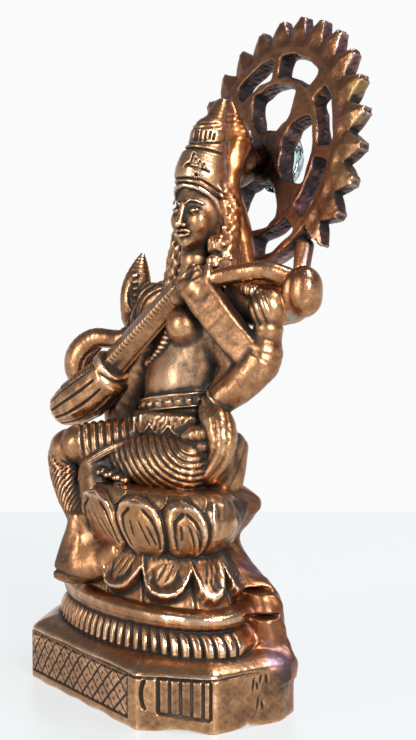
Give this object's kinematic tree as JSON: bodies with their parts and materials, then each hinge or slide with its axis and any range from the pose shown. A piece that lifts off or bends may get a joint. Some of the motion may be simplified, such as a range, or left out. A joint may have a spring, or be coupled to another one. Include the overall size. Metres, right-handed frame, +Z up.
{
  "type": "saraswati figure",
  "caption": "Seated goddess with a long-necked lute on a lotus and stepped plinth, backed by an openwork rayed halo; a cast copper-finish tabletop figure.",
  "frame": {"origin": "middle of the plinth's underside", "axes": "+Z up; the figure faces -Y; +X is the figure's own left"},
  "size_m": [0.083, 0.072, 0.1796],
  "materials": {
    "antique_copper": "antique copper finish, rubbed bright on the high places and dark in the recesses",
    "dark_copper": "dark copper finish with rough, stained side walls",
    "teal_glass": "clear teal-tinted glass"
  },
  "bodies": {
    "root": {"seated_goddess_on_lotus": "antique_copper", "rayed_halo": "dark_copper", "hub_glass": "teal_glass"}
  },
  "joints": []
}
